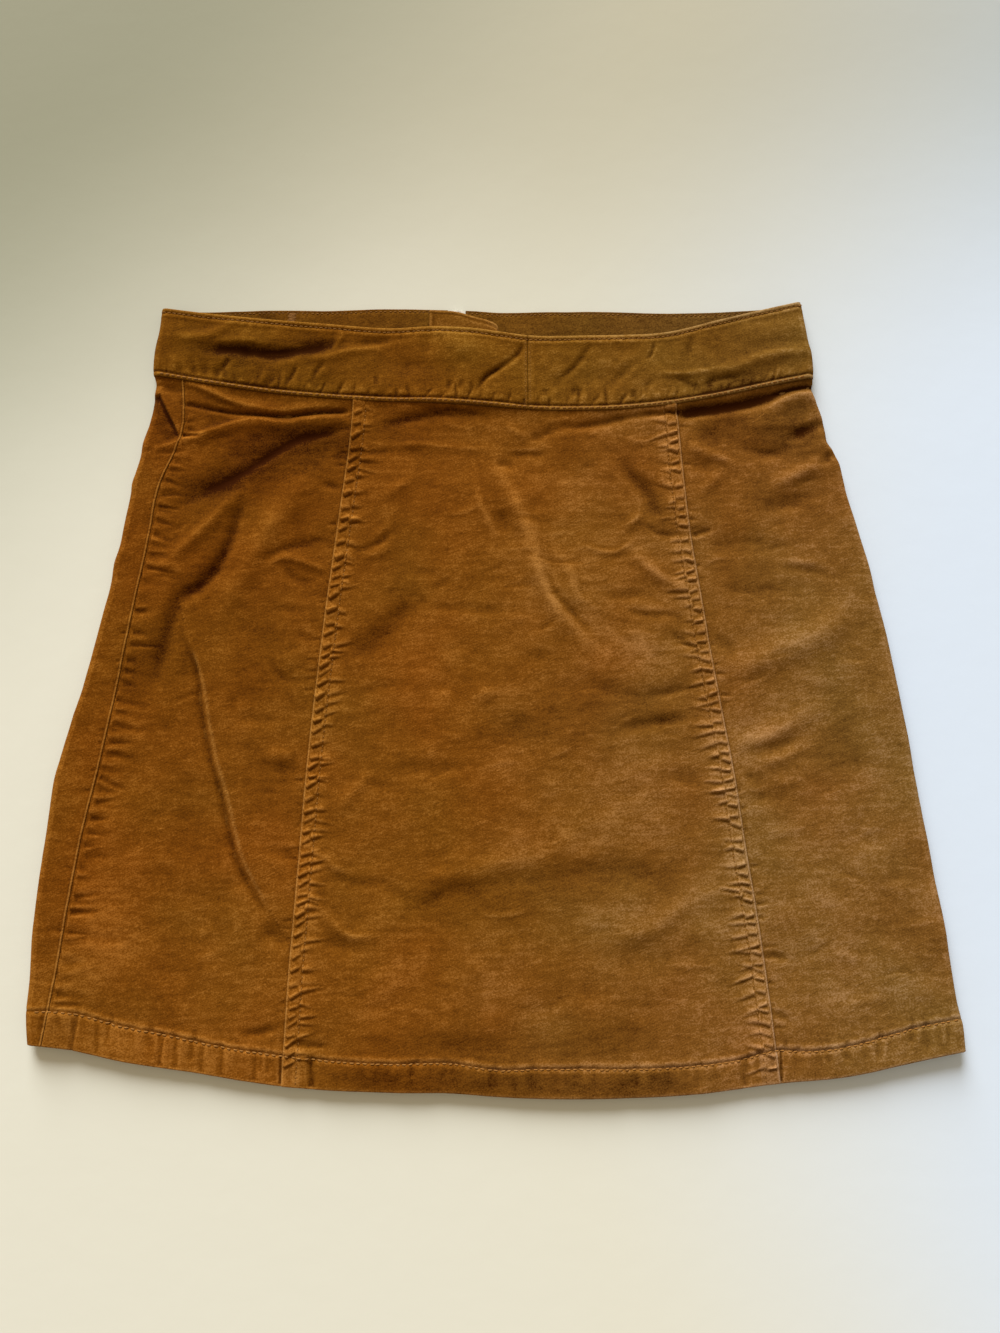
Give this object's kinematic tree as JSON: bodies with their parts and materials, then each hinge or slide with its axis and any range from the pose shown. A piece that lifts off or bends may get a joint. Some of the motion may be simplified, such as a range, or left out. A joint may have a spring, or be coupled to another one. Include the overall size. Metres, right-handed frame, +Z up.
{
  "type": "a-line skirt laid flat",
  "caption": "Short a-line skirt of brushed cotton laid flat: panelled front with topstitched seams, wide doubled waistband, turned hem and a centre back zip.",
  "frame": {"origin": "centre of the underside's bounding box, on the surface that the skirt lies on", "axes": "+Y from the hem to the waistband, +X to the right seen from the front of the skirt, +Z up, out of the front"},
  "size_m": [0.4518, 0.4043, 0.0078],
  "materials": {
    "brushed_cotton": "tan brown brushed cotton with a short nap, worn pale along the seams",
    "waistband_cotton": "the same brushed cotton, doubled",
    "zip_tape": "woven tape with small teeth",
    "zip_metal": "small cast slider and tab, satin"
  },
  "bodies": {
    "skirt": {"front_centre": "brushed_cotton", "front_left": "brushed_cotton", "front_right": "brushed_cotton", "back_left": "brushed_cotton", "back_right": "brushed_cotton", "band_left": "waistband_cotton", "band_right": "waistband_cotton", "underlap_tab": "waistband_cotton", "zip_chain": "zip_tape", "zip_slider": "zip_metal"},
    "pull": {"zip_pull": "zip_metal"}
  },
  "joints": [
    {"name": "pull_hinge", "type": "hinge", "parent": "skirt", "child": "pull", "pos_m": [-0.02156, 0.19725, 0.0005], "axis": [1, 0, 0], "range_deg": [0, 180]}
  ]
}
